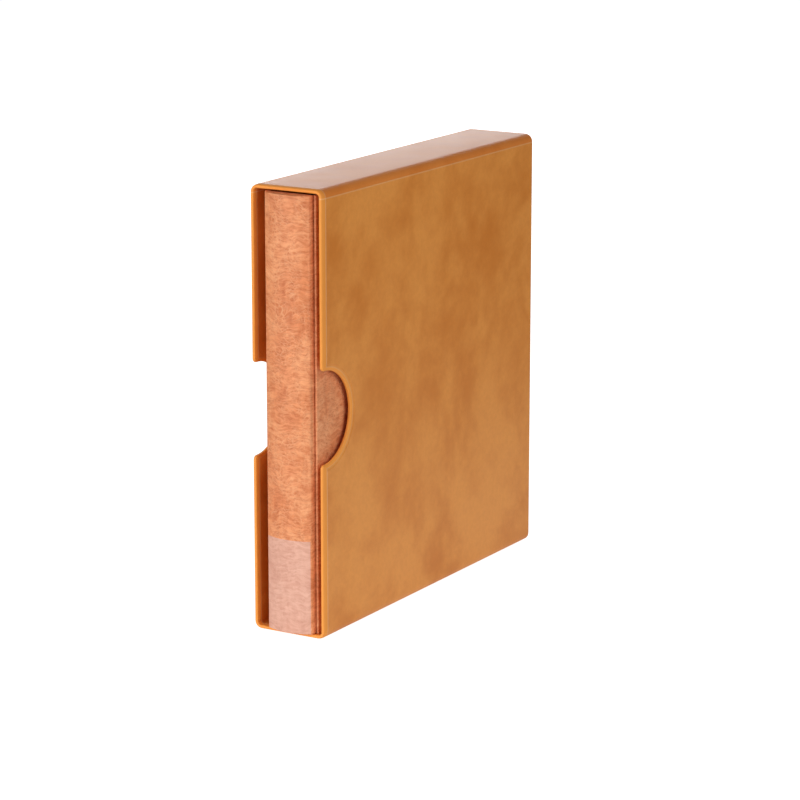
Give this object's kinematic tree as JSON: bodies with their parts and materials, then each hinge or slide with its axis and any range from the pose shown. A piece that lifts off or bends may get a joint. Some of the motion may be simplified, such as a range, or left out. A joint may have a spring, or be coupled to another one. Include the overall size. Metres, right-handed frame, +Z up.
{
  "type": "coin album",
  "caption": "Ring-bound coin album with a crowned spine, standing in a leatherette slipcase with half-round thumb notches.",
  "frame": {"origin": "middle of the slipcase's bottom face, on the surface it stands on", "axes": "+Z up; -Y out of the case's mouth, the way the spine faces; +X towards the album's front cover"},
  "size_m": [0.06, 0.3104, 0.325],
  "materials": {
    "tan_leatherette": "satin, cloudy",
    "peach_leatherette": "grained, matt",
    "pale_leatherette": "grained, matt",
    "board": "raw grey board",
    "case_lining": "matt",
    "endpaper": "matt",
    "foam": "matt",
    "nickel_plate": "bright nickel",
    "clear_sheet": "clear gloss",
    "leaf_card": "matt"
  },
  "bodies": {
    "slipcase": {"case_sleeve_board": "board", "case_back_board": "board", "case_lining": "case_lining", "case_back_lining": "case_lining", "case_wrap": "tan_leatherette", "case_back_sheet": "tan_leatherette"},
    "album": {"front_cover_board": "board", "front_cover_liner": "endpaper", "back_cover_board": "board", "back_cover_liner": "endpaper", "spine_board": "board", "spine_liner": "endpaper", "spine_pad": "foam", "album_skin": "peach_leatherette", "spine_label": "pale_leatherette", "ring_cover_plate": "nickel_plate", "rivet_bottom": "nickel_plate", "rivet_top": "nickel_plate", "lever_pin_bottom": "nickel_plate", "lever_pin_top": "nickel_plate", "coin_sheet_1": "clear_sheet", "coin_sheet_2": "clear_sheet", "coin_sheet_3": "clear_sheet", "coin_sheet_4": "clear_sheet", "coin_sheet_5": "clear_sheet", "interleaf_1": "leaf_card", "interleaf_2": "leaf_card", "interleaf_3": "leaf_card", "interleaf_4": "leaf_card"},
    "rings_left": {"ring_blade_left": "nickel_plate", "half_ring_left_1": "nickel_plate", "half_ring_left_2": "nickel_plate", "half_ring_left_3": "nickel_plate", "half_ring_left_4": "nickel_plate"},
    "rings_right": {"ring_blade_right": "nickel_plate", "half_ring_right_1": "nickel_plate", "half_ring_right_2": "nickel_plate", "half_ring_right_3": "nickel_plate", "half_ring_right_4": "nickel_plate"},
    "bottom_lever": {"lever_bottom": "nickel_plate"},
    "top_lever": {"lever_top": "nickel_plate"}
  },
  "joints": [
    {"name": "album_slide", "type": "slide", "parent": "slipcase", "child": "album", "axis": [0, -1, 0], "range_m": [0, 0.305]},
    {"name": "rings_left_open", "type": "hinge", "parent": "album", "child": "rings_left", "pos_m": [-0.0052, -0.1455, 0.1618], "axis": [0, 0, 1], "range_deg": [0, 13]},
    {"name": "rings_right_open", "type": "hinge", "parent": "album", "child": "rings_right", "pos_m": [0.0092, -0.1455, 0.1618], "axis": [0, 0, -1], "range_deg": [0, 13]},
    {"name": "lever_bottom_press", "type": "hinge", "parent": "album", "child": "bottom_lever", "pos_m": [0.002, -0.1439, 0.0226], "axis": [-1, 0, 0], "range_deg": [0, 30]},
    {"name": "lever_top_press", "type": "hinge", "parent": "album", "child": "top_lever", "pos_m": [0.002, -0.1439, 0.301], "axis": [1, 0, 0], "range_deg": [0, 30]}
  ],
  "couplings": [
    {"joint": "rings_right_open", "follows": "rings_left_open", "ratio": 1},
    {"joint": "lever_bottom_press", "follows": "rings_left_open", "ratio": 2.3},
    {"joint": "lever_top_press", "follows": "rings_left_open", "ratio": 2.3}
  ]
}
